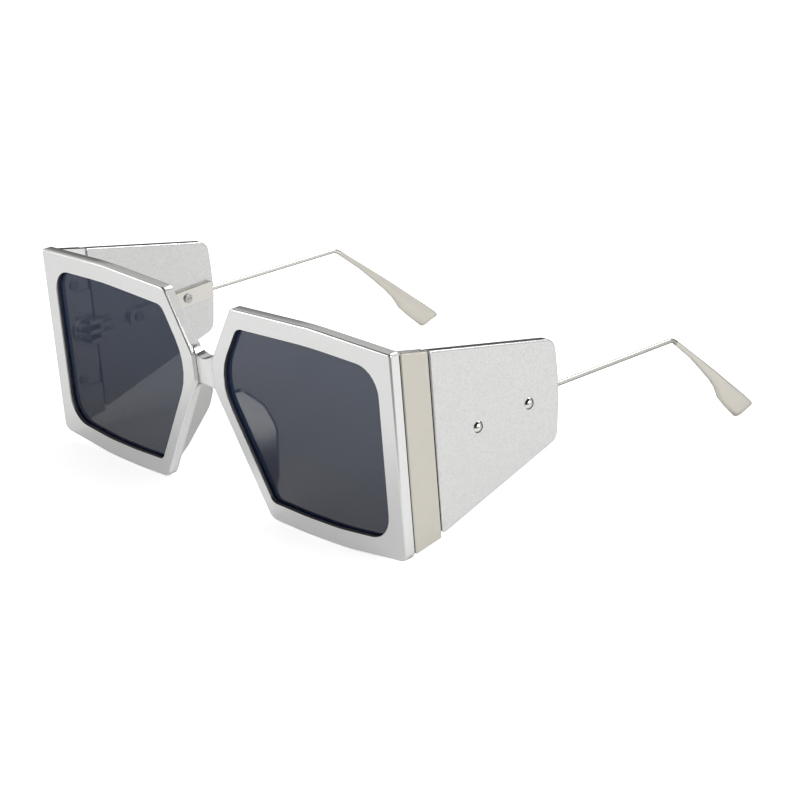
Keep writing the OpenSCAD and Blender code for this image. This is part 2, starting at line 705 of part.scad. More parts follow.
// The arms stand at the height that sets the ear tips on the ground
arm_z = -min([for (p = tip_places) p[2]]);
arm_x = inner_x - plate_t / 2;
reach = bend_y + max([for (p = tip_places) p[1]]);
front_faces = concat(
    [[0, bridge_front, bridge_z + bridge_h / 2]],
    [for (p = rounded(half_corners, half_radii, edge_r)) [p[0], p[0] * sin(wrap_angle) - wrap_depth, p[1]]]
);
front_y = min([for (p = front_faces) p[1] * cos(lean_angle) - (p[2] - front_h / 2) * sin(lean_angle)]);
mid_y = (reach + front_y) / 2;

// Moves everything so that the middle of its length is on the origin
module centred() {
    translate([0, -mid_y, 0]) children();
}

// Ear end of the arm: along the bent-down wire, drawn along +Y and turned into place
module ear_end() {
    translate([arm_x, bend_y, arm_z]) rotate([0, toe_angle, 0]) rotate([-bend_angle, 0, 0]) children();
}

module ear_tip() {
    color([0.84, 0.81, 0.74]) ear_end() difference() {
        skin([for (ring = tip_rings) [for (p = ring) [p[0], p[1], p[2]]]]);
        translate([0, tip_start - over, 0]) rotate([-90, 0, 0])
            cylinder(d = tenon_d + 2 * screw_fit, h = over + tip_core_l + screw_fit);
    }
}

// Arm plate: a flat bar with a round front end, riveted to the panel, with a bore for the wire
plate_back = panel_back + panel_bow / 2 - plate_end_gap;
plate_front = hinge_y + rear_leaf_l + plate_start_gap;
plate_y = plate_front + plate_h / 2;

// Slopes what is drawn level with the plate, about the middle of its back end
module along_plate() {
    translate([0, plate_back, arm_z]) rotate([plate_rise, 0, 0]) translate([0, -plate_back, -arm_z]) children();
}

module rivet_places() {
    for (y = [plate_front + rivet_start, plate_back - rivet_end])
        along_plate() translate([inner_x, y, arm_z]) rotate([0, 90, 0]) children();
}

module arm_plate() {
    color([0.80, 0.79, 0.75]) difference() {
        along_plate() translate([inner_x - plate_t, 0, 0]) sideways() linear_extrude(plate_t) {
            translate([plate_y, arm_z]) circle(d = plate_h);
            translate([plate_y, arm_z - plate_h / 2]) square([plate_back - plate_y, plate_h]);
        }
        rivet_places() translate([0, 0, -plate_t - over]) cylinder(d = sleeve_d + 2 * screw_fit, h = plate_t + 2 * over);
        translate([arm_x, plate_back - tenon_l - screw_fit, arm_z]) rotate([-90, 0, 0])
            cylinder(d = tenon_d + 2 * screw_fit, h = tenon_l + over + screw_fit);
    }
}

// Wire of the arm: tenon, straight run, bend, and the core inside the ear tip; bending thins the wire a little
bend_thinning_share = 0.97;
bend_lap = over / 10;
bend_tangent = bend_r * tan(bend_angle / 2);

// Rod along +Z whose thinner tenon starts at the shoulder
module stepped_rod(shoulder, l) {
    rotate_extrude() polygon([
        [0, 0], [wire_d / 2, 0], [wire_d / 2, shoulder], [tenon_d / 2, shoulder], [tenon_d / 2, l], [0, l]
    ]);
}

module arm_wire() {
    run = bend_y - bend_tangent - plate_back - screw_fit;
    color([0.80, 0.79, 0.76]) translate([arm_x, bend_y, arm_z]) rotate([0, toe_angle, 0]) {
        translate([0, bend_lap - bend_tangent, 0]) rotate([90, 0, 0])
            stepped_rod(bend_lap + run, bend_lap + run + screw_fit + tenon_l);
        translate([0, -bend_tangent, -bend_r]) rotate([0, -90, 0])
            rotate_extrude(angle = bend_angle) translate([bend_r, 0]) circle(d = wire_d * bend_thinning_share);
        rotate([-bend_angle, 0, 0]) translate([0, bend_tangent - bend_lap, 0]) rotate([-90, 0, 0])
            stepped_rod(bend_lap + tip_start - screw_fit - bend_tangent, bend_lap + tip_start + tip_core_l - bend_tangent);
    }
}

// Rivet: domed head outside, tapped sleeve through panel and plate
dome_r = (pow(dome_d / 2, 2) + pow(dome_h, 2)) / (2 * dome_h);
sleeve_l = panel_t + plate_t - screw_fit;

module dome_rivets() {
    color([0.80, 0.80, 0.78]) rivet_places() translate([0, 0, panel_t]) difference() {
        union() {
            intersection() {
                translate([0, 0, dome_h - dome_r]) sphere(dome_r);
                cylinder(d = dome_d + over, h = dome_h + over);
            }
            translate([0, 0, -sleeve_l]) cylinder(d = sleeve_d, h = sleeve_l + dome_h / 2);
        }
        translate([0, 0, -sleeve_l - over]) cylinder(d = screw_d + 2 * screw_fit, h = over + sleeve_l - screw_fit);
    }
}

module rivet_screws() {
    color([0.62, 0.61, 0.58]) rivet_places() translate([0, 0, -plate_t - screw_head_h])
        slotted_screw(screw_head_d, screw_head_h, screw_d, sleeve_l - screw_d);
}

module left() {
    centred() children();
}

module right() {
    centred() mirror([1, 0, 0]) children();
}

front_frame();
left() lens();  // lens_left
right() lens();  // lens_right
left() trim_strip();  // trim_strip_left
right() trim_strip();  // trim_strip_right
left() strip_screws();  // strip_screws_left
right() strip_screws();  // strip_screws_right
left() hinge_front_leaf();  // hinge_front_leaf_left
right() hinge_front_leaf();  // hinge_front_leaf_right
left() hinge_rear_leaf();  // hinge_rear_leaf_left
right() hinge_rear_leaf();  // hinge_rear_leaf_right
left() hinge_screw();  // hinge_screw_left
right() hinge_screw();  // hinge_screw_right
left() leaf_screws(front_leaf_screw_y);  // front_leaf_screws_left
right() leaf_screws(front_leaf_screw_y);  // front_leaf_screws_right
left() leaf_screws(rear_leaf_screw_y);  // rear_leaf_screws_left
right() leaf_screws(rear_leaf_screw_y);  // rear_leaf_screws_right
left() side_panel();  // side_panel_left
right() side_panel();  // side_panel_right
left() arm_plate();  // arm_plate_left
right() arm_plate();  // arm_plate_right
left() arm_wire();  // arm_wire_left
right() arm_wire();  // arm_wire_right
left() dome_rivets();  // dome_rivets_left
right() dome_rivets();  // dome_rivets_right
left() rivet_screws();  // rivet_screws_left
right() rivet_screws();  // rivet_screws_right
left() ear_tip();  // ear_tip_left
right() ear_tip();  // ear_tip_right
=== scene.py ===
"""Square sunglasses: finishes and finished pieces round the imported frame, with a studio."""
import logging
import math
from dataclasses import dataclass, field
from enum import Enum
from typing import Callable

import bmesh
import bpy
from mathutils import Matrix, Vector


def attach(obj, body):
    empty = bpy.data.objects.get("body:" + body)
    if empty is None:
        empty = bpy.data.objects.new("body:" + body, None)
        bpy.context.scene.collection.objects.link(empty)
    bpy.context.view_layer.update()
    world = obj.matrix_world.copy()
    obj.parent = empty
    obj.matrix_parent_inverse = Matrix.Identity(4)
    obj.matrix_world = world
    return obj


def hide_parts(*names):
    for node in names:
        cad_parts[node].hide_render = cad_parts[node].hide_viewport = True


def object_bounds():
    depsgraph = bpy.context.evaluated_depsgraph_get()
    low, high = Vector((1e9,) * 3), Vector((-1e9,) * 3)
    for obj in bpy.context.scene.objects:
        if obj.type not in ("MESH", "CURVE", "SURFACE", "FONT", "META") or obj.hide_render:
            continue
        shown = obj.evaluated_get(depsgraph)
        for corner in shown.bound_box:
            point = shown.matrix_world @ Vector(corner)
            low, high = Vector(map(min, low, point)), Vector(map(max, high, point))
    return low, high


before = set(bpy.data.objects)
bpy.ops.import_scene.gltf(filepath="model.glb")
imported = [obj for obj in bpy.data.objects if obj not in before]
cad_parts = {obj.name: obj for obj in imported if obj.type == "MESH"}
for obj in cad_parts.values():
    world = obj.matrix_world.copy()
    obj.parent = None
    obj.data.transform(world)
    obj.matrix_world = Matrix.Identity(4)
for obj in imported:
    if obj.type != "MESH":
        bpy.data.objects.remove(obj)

CAD_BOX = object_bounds()
LOG = logging.getLogger("sunglasses")
MM = 0.001
# Where the source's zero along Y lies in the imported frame
SOURCE_ZERO = -69.43827 * MM


class Side(Enum):
    """The wearer's side that a piece sits on."""

    LEFT = "left"
    RIGHT = "right"

    @property
    def sign(self) -> int:
        """The side's direction along X."""
        return 1 if self is Side.LEFT else -1


class Body(Enum):
    """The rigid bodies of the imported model."""

    FRONT = "front"
    ARM_LEFT = "arm_left"
    ARM_RIGHT = "arm_right"

    @staticmethod
    def arm(side: Side) -> "Body":
        """The arm's body on one side."""
        return Body.ARM_LEFT if side is Side.LEFT else Body.ARM_RIGHT


class NodeDesk:
    """Builds one material's nodes from left to right."""

    def __init__(self, name: str) -> None:
        """Start an empty material.

        Args:
            name: the material's name.
        """
        self.material = bpy.data.materials.new(name)
        self.material.use_nodes = True
        self.start(self.material.node_tree, "ShaderNodeOutputMaterial")

    def start(self, tree: bpy.types.NodeTree, output: str) -> None:
        """Empty a node tree and give it an output and coordinates.

        Args:
            tree: the tree.
            output: Blender's type of the output node.
        """
        self.tree = tree
        self.tree.nodes.clear()
        self.output = self.tree.nodes.new(output)
        self.coords = self.tree.nodes.new("ShaderNodeTexCoord")

    def add(self, kind: str, links: dict | None = None, **settings: object) -> bpy.types.Node:
        """Add a node, set its properties and sockets, and link what feeds it.

        Args:
            kind: Blender's node type.
            links: socket name or index to the output socket that feeds it.
            **settings: a property's name, or a socket's name with blanks as underscores.

        Returns:
            The new node.
        """
        node = self.tree.nodes.new(kind)
        for key, value in settings.items():
            socket = key.replace("_", " ")
            match = next((s for s in node.inputs if s.name.lower() == socket.lower()), None)
            if hasattr(node, key):
                setattr(node, key, value)
            elif match is not None:
                match.default_value = value
        for key, source in (links or {}).items():
            self.tree.links.new(source, node.inputs[key])
        return node

    def stretched(self, scale: tuple[float, float, float]) -> bpy.types.NodeSocket:
        """Object coordinates scaled along each axis.

        Args:
            scale: factor along X, Y and Z.

        Returns:
            The scaled vector.
        """
        node = self.add("ShaderNodeMapping", {"Vector": self.coords.outputs["Object"]})
        node.inputs["Scale"].default_value = scale
        return node.outputs[0]

    def noise(self, scale: float, detail: float = 3.0,
              vector: bpy.types.NodeSocket | None = None) -> bpy.types.NodeSocket:
        """Noise over the piece.

        Args:
            scale: waves for each metre.
            detail: octaves.
            vector: coordinates, the object's own where left out.

        Returns:
            The noise's value.
        """
        node = self.add("ShaderNodeTexNoise", {"Vector": vector or self.coords.outputs["Object"]})
        node.inputs["Scale"].default_value = scale
        node.inputs["Detail"].default_value = detail
        return node.outputs[0]

    def flakes(self, scale: float) -> bpy.types.NodeSocket:
        """Cells of one random value each.

        Args:
            scale: cells for each metre.

        Returns:
            The cells' colour.
        """
        node = self.add("ShaderNodeTexVoronoi", {"Vector": self.coords.outputs["Object"]})
        node.inputs["Scale"].default_value = scale
        return node.outputs["Color"]

    def span(self, value: bpy.types.NodeSocket, low: float, high: float) -> bpy.types.NodeSocket:
        """Spread a value over a range.

        Args:
            value: a socket from 0 to 1.
            low: result at 0.
            high: result at 1.

        Returns:
            The spread value.
        """
        node = self.add("ShaderNodeMapRange", {0: value})
        node.inputs["To Min"].default_value = low
        node.inputs["To Max"].default_value = high
        return node.outputs[0]

    def blend(self, share: bpy.types.NodeSocket, a: tuple, b: tuple) -> bpy.types.NodeSocket:
        """Mix two colours.

        Args:
            share: the second colour's share.
            a: first colour.
            b: second colour.

        Returns:
            The mixed colour.
        """
        node = self.add("ShaderNodeMix", data_type="RGBA")
        node.inputs[6].default_value = (*a, 1.0)
        node.inputs[7].default_value = (*b, 1.0)
        self.tree.links.new(share, node.inputs[0])
        return node.outputs[2]

    def grazing(self, start: float, end: float) -> bpy.types.NodeSocket:
        """How far the surface turns away from the eye, from 0 to 1.

        Args:
            start: turn where the share begins.
            end: turn where the share is full.

        Returns:
            The share.
        """
        weight = self.add("ShaderNodeLayerWeight", Blend=0.5)
        node = self.add("ShaderNodeMapRange", {0: weight.outputs["Facing"]}, interpolation_type="SMOOTHSTEP")
        node.inputs["From Min"].default_value = start
        node.inputs["From Max"].default_value = end
        return node.outputs[0]

    def painted_edge_shade(self, colour: bpy.types.NodeSocket, edge: tuple,
              turn: tuple[float, float]) -> bpy.types.NodeSocket:
        """Paint shade into a colour where the surface turns away from the eye: a painted dark edge that
        stands in for dark reflections.

        Args:
            colour: the colour's socket.
            edge: the painted shade's colour at the full turn.
            turn: turns where the shade begins and where it is full.

        Returns:
            The colour with its painted shade.
        """
        node = self.add("ShaderNodeMix", {0: self.grazing(*turn), 6: colour}, data_type="RGBA")
        node.inputs[7].default_value = (*edge, 1.0)
        return node.outputs[2]

    def bump(self, height: bpy.types.NodeSocket, strength: float, depth: float) -> bpy.types.NodeSocket:
        """Turn a height into a surface normal.

        Args:
            height: the height's socket.
            strength: from 0 to 1.
            depth: the height's full depth in metres.

        Returns:
            The normal.
        """
        node = self.add("ShaderNodeBump", {"Height": height})
        node.inputs["Strength"].default_value = strength
        node.inputs["Distance"].default_value = depth
        return node.outputs[0]

    def surface(self, links: dict, **settings: float | tuple) -> bpy.types.Material:
        """Close the material with a Principled surface.

        Args:
            links: socket names to what feeds them.
            **settings: socket names, with underscores, to plain values.

        Returns:
            The finished material.
        """
        shader = self.tree.nodes.new("ShaderNodeBsdfPrincipled")
        for key, value in settings.items():
            shader.inputs[key.replace("_", " ")].default_value = value
        for key, source in links.items():
            self.tree.links.new(source, shader.inputs[key])
        self.close(shader)
        return self.material

    def close(self, shader: bpy.types.Node) -> None:
        """Link a shader node to the output."""
        self.tree.links.new(shader.outputs[0], self.output.inputs["Surface"])


class RoomDesk(NodeDesk):
    """Builds the world's nodes from left to right."""

    def __init__(self, name: str) -> None:
        """Start an empty world and make it the scene's.

        Args:
            name: the world's name.
        """
        world = bpy.data.worlds.new(name)
        world.use_nodes = True
        bpy.context.scene.world = world
        self.start(world.node_tree, "ShaderNodeOutputWorld")


@dataclass(frozen=True)
class SilverLacquer:
    """Pearly silver lacquer over moulded plastic, with fine flakes under a clear coat, and painted shade
    where it turns away from the eye.
    """

    name: str
    colour: tuple[float, float, float] = (0.78, 0.785, 0.775)
    bright: tuple[float, float, float] = (0.88, 0.885, 0.875)
    # edge: colour painted where the lacquer turns away from the eye, painted shade for the dark reflections
    # along its edges; turn says where it begins and where it is full.
    edge: tuple[float, float, float] = (0.30, 0.30, 0.29)
    metal: float = 0.85
    rough: float = 0.2
    streak: float = 0.08
    flake_scale: float = 5200.0
    flake_share: tuple[float, float] = (0.15, 0.85)
    flake_bump: float = 0.18
    flake_depth: float = 0.03 * MM
    streak_waves: tuple[float, float, float] = (90.0, 90.0, 1400.0)
    turn: tuple[float, float] = (0.5, 0.95)
    coat: float = 0.7
    coat_rough: float = 0.04
    rim_tint: tuple[float, float, float] = (0.45, 0.45, 0.44)

    def make(self) -> bpy.types.Material:
        """Make the lacquer.

        Returns:
            The finished material.
        """
        desk = NodeDesk(self.name)
        flakes = desk.flakes(self.flake_scale)
        streaks = desk.noise(1.0, 3.0, desk.stretched(self.streak_waves))
        pigment = desk.blend(desk.span(flakes, *self.flake_share), self.colour, self.bright)
        return desk.surface(
            {
                # The base colour carries painted shade at turned-away edges.
                "Base Color": desk.painted_edge_shade(pigment, self.edge, self.turn),
                "Roughness": desk.span(streaks, self.rough - self.streak, self.rough + self.streak),
                "Normal": desk.bump(flakes, self.flake_bump, self.flake_depth),
            },
            Metallic=self.metal, Coat_Weight=self.coat, Coat_Roughness=self.coat_rough,
            Specular_Tint=(*self.rim_tint, 1.0),
        )


@dataclass(frozen=True)
class ShadedWall:
    """Dark colour for the lens openings' walls and the seams: painted shade and painted reflection of the
    dark lens on the walls, painted shade in the seams.
    """

    name: str
    colour: tuple[float, float, float] = (0.030, 0.029, 0.027)
    paler_shade: tuple[float, float, float] = (0.075, 0.072, 0.065)
    cloud_scale: float = 420.0
    rough: tuple[float, float] = (0.22, 0.4)
    coat: float = 0.3
    coat_rough: float = 0.12

    def make(self) -> bpy.types.Material:
        """Make the wall's finish.

        Returns:
            The finished material.
        """
        desk = NodeDesk(self.name)
        cloud = desk.noise(self.cloud_scale, 5.0)
        # Painted shade throughout: the dark colour with paler cloudy patches.
        return desk.surface(
            {
                "Base Color": desk.blend(cloud, self.colour, self.paler_shade),
                "Roughness": desk.span(cloud, *self.rough),
            },
            Metallic=0.0, Coat_Weight=self.coat, Coat_Roughness=self.coat_rough,
        )


@dataclass(frozen=True)
class SmokedLens:
    """Grey see-through tint with a polished skin, its colour painted darker towards the bottom as painted
    shade.
    """

    name: str
    top: tuple[float, float, float] = (0.013, 0.026, 0.06)
    foot: tuple[float, float, float] = (0.0005, 0.004, 0.018)
    foot_height: float = 6.0 * MM
    top_height: float = 54.0 * MM
    cover: float = 0.76
    index: float = 1.5
    gleam: float = 0.1
    haze_scale: float = 60.0
    rough: tuple[float, float] = (0.03, 0.06)

    def make(self) -> bpy.types.Material:
        """Make the tint.

        Returns:
            The finished material.
        """
        desk = NodeDesk(self.name)
        haze = desk.noise(self.haze_scale, 2.0)
        # Painted shade: the tint grades from the dark foot colour at the bottom to the lighter top colour.
        height = desk.add("ShaderNodeSeparateXYZ", {0: desk.coords.outputs["Object"]})
        shade_rise = desk.add("ShaderNodeMapRange", {0: height.outputs["Z"]})
        shade_rise.inputs["From Min"].default_value = self.foot_height
        shade_rise.inputs["From Max"].default_value = self.top_height
        colour = desk.blend(shade_rise.outputs[0], self.foot, self.top)
        material = desk.surface(
            {"Base Color": colour, "Roughness": desk.span(haze, *self.rough)},
            Alpha=self.cover, IOR=self.index, Specular_IOR_Level=self.gleam,
        )
        material.surface_render_method = "BLENDED"
        return material


class Grain(Enum):
    """Directions that a metal is brushed in."""

    ALONG_X = (40.0, 1500.0, 1500.0)
    ALONG_Y = (1500.0, 40.0, 1500.0)
    ALONG_Z = (1500.0, 1500.0, 40.0)
    NONE = (900.0, 900.0, 900.0)


@dataclass(frozen=True)
class BrushedMetal:
    """Metal with fine brushing, light stains, slightly uneven gloss and painted shade where it turns away
    from the eye.
    """

    name: str
    colour: tuple[float, float, float]
    stain_and_shade_base: tuple[float, float, float]
    metal: float = 1.0
    rough: float = 0.3
    spread: float = 0.08
    coat: float = 0.0
    coat_rough: float = 0.12
    grain: Grain = Grain.NONE
    grain_bump: float = 0.2
    grain_depth: float = 0.02 * MM
    cloud_scale: float = 150.0
    # edge scales the stain colour down into the painted shade at turned-away edges, between the two turns,
    # and also sets the specular tint.
    edge: float = 0.45
    turn: tuple[float, float] = (0.45, 0.9)

    def make(self) -> bpy.types.Material:
        """Make the metal.

        Returns:
            The finished material.
        """
        desk = NodeDesk(self.name)
        brush = desk.noise(1.0, 3.0, desk.stretched(self.grain.value))
        stained = desk.blend(desk.noise(self.cloud_scale, 4.0), self.colour, self.stain_and_shade_base)
        # Painted shade: a darker stain colour where the metal turns away from the eye.
        dark = tuple(channel * self.edge for channel in self.stain_and_shade_base)
        return desk.surface(
            {
                "Base Color": desk.painted_edge_shade(stained, dark, self.turn),
                "Roughness": desk.span(brush, self.rough - self.spread, self.rough + self.spread),
                "Normal": desk.bump(brush, self.grain_bump, self.grain_depth),
            },
            Metallic=self.metal, Coat_Weight=self.coat, Coat_Roughness=self.coat_rough,
            Specular_Tint=(self.edge, self.edge, self.edge, 1.0),
        )


@dataclass(frozen=True)
class FinishSet:
    """Every finish of the sunglasses, made once."""

    front: bpy.types.Material = field(default_factory=SilverLacquer("silver_front").make)
    panel: bpy.types.Material = field(default_factory=SilverLacquer(
        "silver_panel", (0.61, 0.615, 0.605), (0.84, 0.845, 0.835), metal=0.8, rough=0.24, streak=0.02,
        flake_scale=3400.0).make)
    wall: bpy.types.Material = field(default_factory=ShadedWall("painted_shade_wall").make)
    lens: bpy.types.Material = field(default_factory=SmokedLens("smoked_lens").make)
    # Each metal's edge and turn set how dark and how wide its painted edge shade is.
    strip: bpy.types.Material = field(default_factory=BrushedMetal(
        "champagne_strip", (0.65, 0.62, 0.555), (0.615, 0.59, 0.525), metal=0.6, rough=0.3, spread=0.05,
        coat=0.3, grain=Grain.ALONG_Z).make)
    hinge: bpy.types.Material = field(default_factory=BrushedMetal(
        "hinge_metal", (0.82, 0.80, 0.75), (0.74, 0.72, 0.67), rough=0.2, spread=0.08, grain=Grain.ALONG_Y,
        edge=0.7).make)
    wire: bpy.types.Material = field(default_factory=BrushedMetal(
        "arm_wire", (0.95, 0.93, 0.88), (0.90, 0.88, 0.82), rough=0.12, spread=0.06, grain=Grain.ALONG_Y,
        edge=0.35, turn=(0.15, 0.55)).make)
    chrome: bpy.types.Material = field(default_factory=BrushedMetal(
        "dome_chrome", (0.86, 0.85, 0.80), (0.80, 0.79, 0.74), rough=0.07, spread=0.04, edge=0.12,
        turn=(0.2, 0.7)).make)
    screw: bpy.types.Material = field(default_factory=BrushedMetal(
        "screw_steel", (0.60, 0.60, 0.59), (0.50, 0.50, 0.49), rough=0.3, spread=0.08).make)
    tip: bpy.types.Material = field(default_factory=BrushedMetal(
        "champagne_tip", (0.67, 0.64, 0.575), (0.63, 0.605, 0.54), metal=0.5, rough=0.32, spread=0.05,
        coat=0.4, grain_depth=0.01 * MM).make)


class Bench:
    """Mesh work on one piece at a time."""

    MERGE = 0.002 * MM
    FLAT = math.radians(0.6)
    FLAT_WEIGHT = 80

    @staticmethod
    def pick(obj: bpy.types.Object) -> None:
        """Make one object the only selected and the active one.

        Args:
            obj: the object.
        """
        if bpy.context.object and bpy.context.object.mode != "OBJECT":
            bpy.ops.object.mode_set(mode="OBJECT")
        bpy.ops.object.select_all(action="DESELECT")
        obj.select_set(True)
        bpy.context.view_layer.objects.active = obj

    @staticmethod
    def copy_node(node: str, name: str) -> bpy.types.Object:
        """Copy a CAD node's mesh into a new piece and merge its loose triangles.

        Args:
            node: the CAD node.
            name: the new piece's name.

        Returns:
            The new piece, with flat areas cleaned of needless edges.
        """
        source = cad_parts[node]
        piece = bpy.data.objects.new(name, source.data.copy())
        piece.data.materials.clear()
        bpy.context.scene.collection.objects.link(piece)
        Bench.pick(piece)
        bpy.ops.object.mode_set(mode="EDIT")
        bpy.ops.mesh.select_all(action="SELECT")
        bpy.ops.mesh.remove_doubles(threshold=Bench.MERGE)
        bpy.ops.mesh.dissolve_limited(angle_limit=Bench.FLAT)
        bpy.ops.object.mode_set(mode="OBJECT")
        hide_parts(node)
        return piece

    @staticmethod
    def modify(obj: bpy.types.Object, kind: str, **settings: object) -> None:
        """Add one modifier and apply it.

        Args:
            obj: the piece.
            kind: Blender's modifier type.
            **settings: the modifier's properties.
        """
        Bench.pick(obj)
        modifier = obj.modifiers.new(kind.title(), kind)
        for key, value in settings.items():
            setattr(modifier, key, value)
        bpy.ops.object.modifier_apply(modifier=modifier.name)

    @staticmethod
    def break_edges(obj: bpy.types.Object, width: float, angle: float = 50.0, segments: int = 2) -> None:
        """Round a piece's sharp edges a little, as tumbling does.

        Args:
            obj: the piece.
            width: width of the rounding in metres.
            angle: least turn of an edge that is rounded, in degrees.
            segments: steps of the rounding.
        """
        Bench.modify(obj, "BEVEL", width=width, segments=segments, limit_method="ANGLE",
                     angle_limit=math.radians(angle), use_clamp_overlap=True)

    @staticmethod
    def soften(obj: bpy.types.Object, angle: float = 35.0) -> None:
        """Shade a piece smooth up to an angle, with its flats kept flat.

        Args:
            obj: the piece.
            angle: greatest turn that still looks smooth, in degrees.
        """
        Bench.pick(obj)
        bpy.ops.object.shade_smooth_by_angle(angle=math.radians(angle))
        Bench.modify(obj, "WEIGHTED_NORMAL", keep_sharp=True, weight=Bench.FLAT_WEIGHT)

    @staticmethod
    def dress(obj: bpy.types.Object, body: Body, slot: str,
              *materials: bpy.types.Material) -> bpy.types.Object:
        """Give a piece its materials and body.

        Args:
            obj: the piece.
            body: the body that it rides on.
            slot: the record's material slot; not used.
            *materials: its materials, the main one first.

        Returns:
            The same piece.
        """
        obj.data.materials.clear()
        for material in materials:
            obj.data.materials.append(material)
        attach(obj, body.value)
        LOG.info("%s: %d faces on %s", obj.name, len(obj.data.polygons), body.value)
        return obj

    @staticmethod
    def paint(obj: bpy.types.Object, index: int, chosen: Callable[[bpy.types.MeshPolygon], bool]) -> int:
        """Give the chosen faces another material of the piece.

        Args:
            obj: the piece.
            index: the material's place in its slots.
            chosen: says for each face whether it is chosen.

        Returns:
            How many faces were chosen.
        """
        count = 0
        for face in obj.data.polygons:
            if chosen(face):
                face.material_index = index
                count += 1
        return count


@dataclass
class FrontMoulding:
    """The front: rims, bridge, nose pads and end wings in one moulding."""

    finishes: FinishSet
    sweep: float = math.radians(1.7)
    lean: float = math.radians(1.4)
    half_height: float = 28.5 * MM
    plane_setback: float = 0.393 * MM
    edge_depth: float = 0.66 * MM
    wall_depth: float = 3.3 * MM
    wall_turn: float = 0.8
    opening_middle: Vector = field(default_factory=lambda: Vector((42.0, 0.0, 29.0)) * MM)
    opening_reach: Vector = field(default_factory=lambda: Vector((34.5, 0.0, 25.0)) * MM)
    bridge_half: float = 4.2 * MM
    bridge_radius: float = 12.95 * MM
    bridge_front: float = -2.295 * MM
    bridge_foot: float = 30.0 * MM
    bridge_head: float = 44.0 * MM
    root_share: float = 1.3
    face_slack: float = 0.05 * MM
    sink_middle: float = 0.35 * MM
    sink_root: float = 0.8 * MM

    def build(self) -> bpy.types.Object:
        """Build and dress the front.

        Returns:
            The finished piece.
        """
        piece = Bench.copy_node("front_frame", "front_moulding")
        moved = self.round_bridge(piece)
        LOG.info("front_moulding: %d points of the bridge's face rounded", moved)
        Bench.soften(piece)
        Bench.dress(piece, Body.FRONT, "front_plastic", self.finishes.front, self.finishes.wall)
        # The opening walls take the dark wall colour: painted shade and painted reflection of the dark lens.
        walls = Bench.paint(piece, 1, self.is_wall)
        LOG.info("front_moulding: %d faces of bare opening wall", walls)
        return piece

    def is_wall(self, face: bpy.types.MeshPolygon) -> bool:
        """Whether a face belongs to the wall of a lens opening.

        Args:
            face: a face of the front.

        Returns:
            True for a wall's face.
        """
        hand = 1.0 if face.center.x > 0 else -1.0
        spot = Vector((face.center.x * hand, 0.0, face.center.z)) - self.opening_middle
        if abs(spot.x) > self.opening_reach.x or abs(spot.z) > self.opening_reach.z:
            return False
        faces_middle = face.normal.x * hand * spot.x + face.normal.z * spot.z < 0
        steep = abs(face.normal.y) < self.wall_turn
        return faces_middle and steep and self.edge_depth < self.depth(face.center) < self.wall_depth

    def bridge_face(self, point: Vector) -> float:
        """Where the bulged face of the bridge lies along Y.

        Args:
            point: a point whose X and Z count.

        Returns:
            The face's Y there.
        """
        drop = self.bridge_radius - math.sqrt(max(0.0, self.bridge_radius**2 - point.x**2))
        leaned = (self.bridge_front + drop) * math.cos(self.lean)
        return SOURCE_ZERO + leaned - (point.z - self.half_height) * math.sin(self.lean)

    def round_bridge(self, piece: bpy.types.Object) -> int:
        """Sink the bridge's face behind the rims and round it more, most where it meets them.

        Args:
            piece: the front.

        Returns:
            How many points moved.
        """
        moved = 0
        deeper = self.sink_root - self.sink_middle
        for vertex in piece.data.vertices:
            share = abs(vertex.co.x) / self.bridge_half
            near = abs(vertex.co.y - self.bridge_face(vertex.co)) < self.face_slack
            if share < self.root_share and near and self.bridge_foot < vertex.co.z < self.bridge_head:
                vertex.co.y += min(self.sink_root, self.sink_middle + deeper * share**2)
                moved += 1
        return moved

    def depth(self, point: Vector) -> float:
        """How far a point lies behind the leaning, swept front plane.

        Args:
            point: the point.

        Returns:
            Its depth in metres.
        """
        ahead = Vector((math.copysign(math.sin(self.sweep), point.x), -math.cos(self.sweep), 0.0))
        ahead = Matrix.Rotation(self.lean, 3, "X") @ ahead
        middle = Vector((0.0, CAD_BOX[0][1] + self.plane_setback, self.half_height))
        return -(Vector(point) - middle).dot(ahead)


@dataclass
class Lenses:
    """The two bevelled lenses."""

    finishes: FinishSet
    smooth_turn: float = 25.0

    def build(self, side: Side) -> bpy.types.Object:
        """Build one lens.

        Args:
            side: the wearer's side.

        Returns:
            The finished lens.
        """
        piece = Bench.copy_node(f"lens_{side.value}", f"smoked_lens_{side.value}")
        Bench.soften(piece, self.smooth_turn)
        return Bench.dress(piece, Body.FRONT, "lens_tint", self.finishes.lens)


